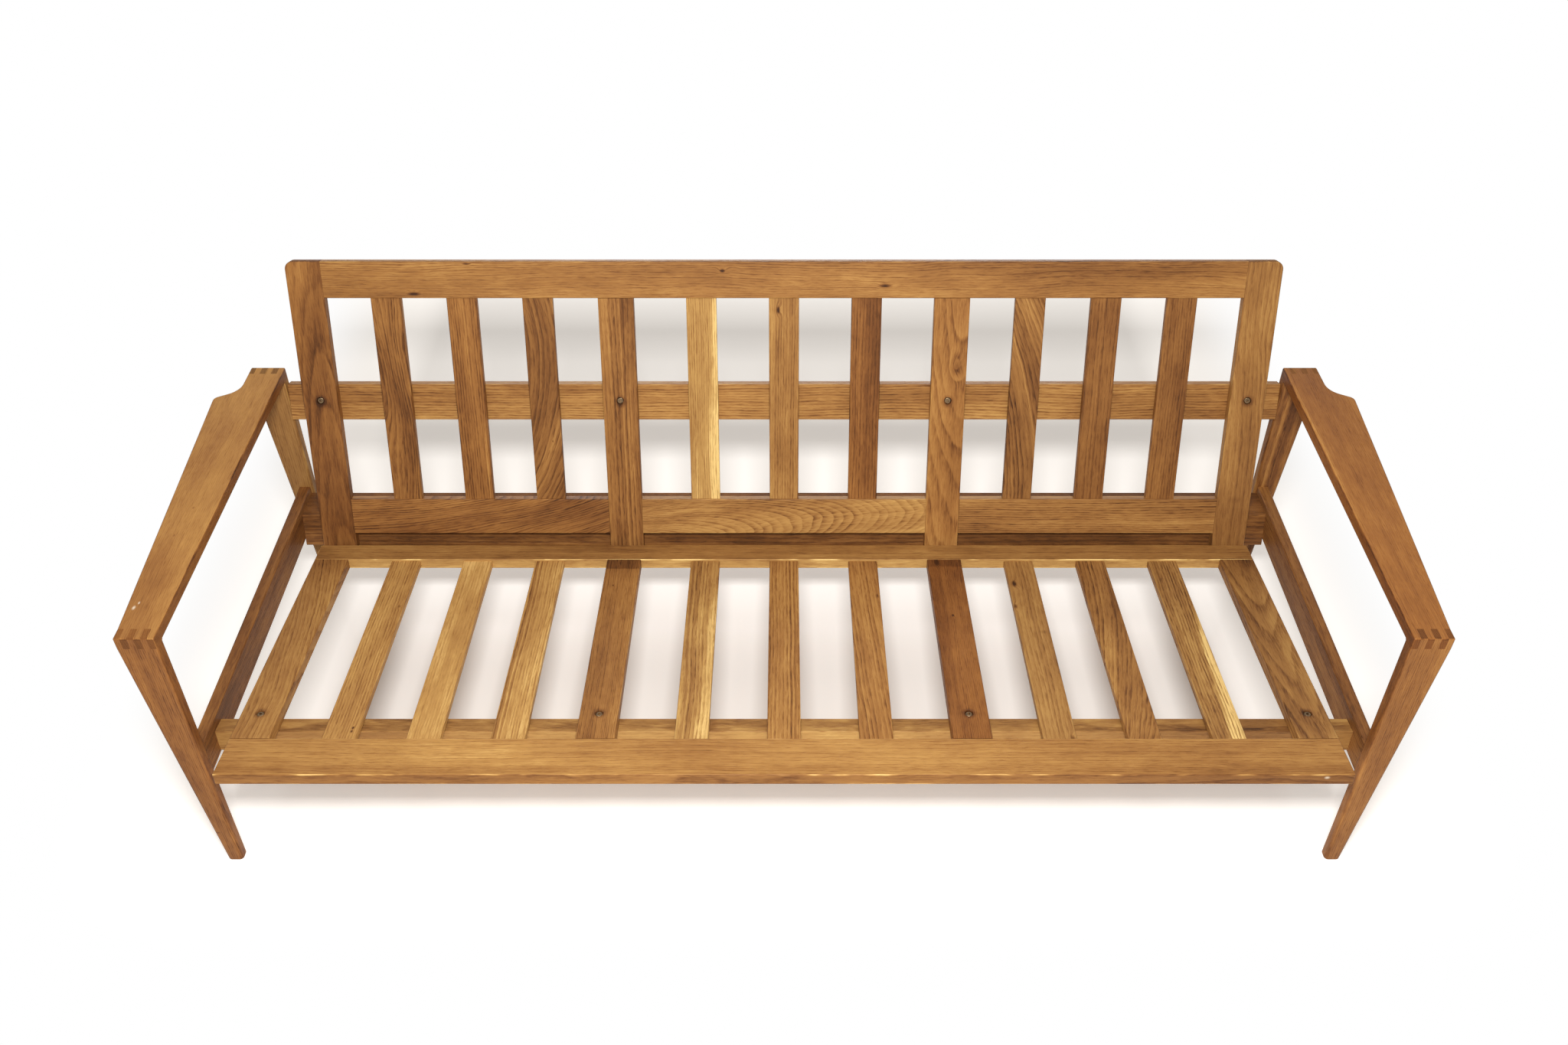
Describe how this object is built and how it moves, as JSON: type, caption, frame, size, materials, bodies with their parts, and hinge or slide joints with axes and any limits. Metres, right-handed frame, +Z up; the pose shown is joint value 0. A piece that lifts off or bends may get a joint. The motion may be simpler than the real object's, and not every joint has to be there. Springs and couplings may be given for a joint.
{
  "type": "slatted sofa frame",
  "caption": "Slatted oak sofa frame with a leaning slatted back, a sloped slatted seat, finger-jointed tapering legs and shaped armrests, made for loose cushions.",
  "frame": {"origin": "on the floor under the middle of the bounding box", "axes": "+X along the sofa to the right as seen from the front, +Y to the back, +Z up"},
  "size_m": [1.955, 0.7737, 0.7028],
  "materials": {
    "arm_oak": "oiled oak, reddish, satin",
    "rail_oak": "oiled oak, darker, satin",
    "seat_oak": "oiled oak, golden, satin",
    "back_oak": "oiled oak, golden brown, satin",
    "dowel_wood": "plain beech",
    "steel": "zinc-plated, dulled"
  },
  "bodies": {
    "root": {"armrest_left": "arm_oak", "armrest_right": "arm_oak", "back_bolts": "steel", "back_bottom_rail_left": "back_oak", "back_bottom_rail_middle": "back_oak", "back_bottom_rail_right": "back_oak", "back_leg_left": "arm_oak", "back_leg_right": "arm_oak", "back_middle_stile_left": "back_oak", "back_middle_stile_right": "back_oak", "back_slat_01": "back_oak", "back_slat_02": "back_oak", "back_slat_03": "back_oak", "back_slat_04": "back_oak", "back_slat_05": "back_oak", "back_slat_06": "back_oak", "back_slat_07": "back_oak", "back_slat_08": "back_oak", "back_slat_09": "back_oak", "back_stile_left": "back_oak", "back_stile_right": "back_oak", "back_top_rail": "back_oak", "barrel_nuts": "steel", "frame_dowels": "dowel_wood", "front_leg_left": "arm_oak", "front_leg_right": "arm_oak", "front_stretcher": "rail_oak", "ledger_screws": "steel", "rear_stretcher": "rail_oak", "seat_bearer_left_end": "seat_oak", "seat_bearer_left_middle": "seat_oak", "seat_bearer_right_end": "seat_oak", "seat_bearer_right_middle": "seat_oak", "seat_bolts": "steel", "seat_front_board": "seat_oak", "seat_ledger": "rail_oak", "seat_rear_rail": "seat_oak", "seat_slat_01": "seat_oak", "seat_slat_02": "seat_oak", "seat_slat_03": "seat_oak", "seat_slat_04": "seat_oak", "seat_slat_05": "seat_oak", "seat_slat_06": "seat_oak", "seat_slat_07": "seat_oak", "seat_slat_08": "seat_oak", "seat_slat_09": "seat_oak", "side_rail_left": "rail_oak", "side_rail_right": "rail_oak", "stile_dowels": "dowel_wood", "stretcher_bolts": "steel", "support_bolts": "steel", "support_rail": "rail_oak"}
  },
  "joints": []
}
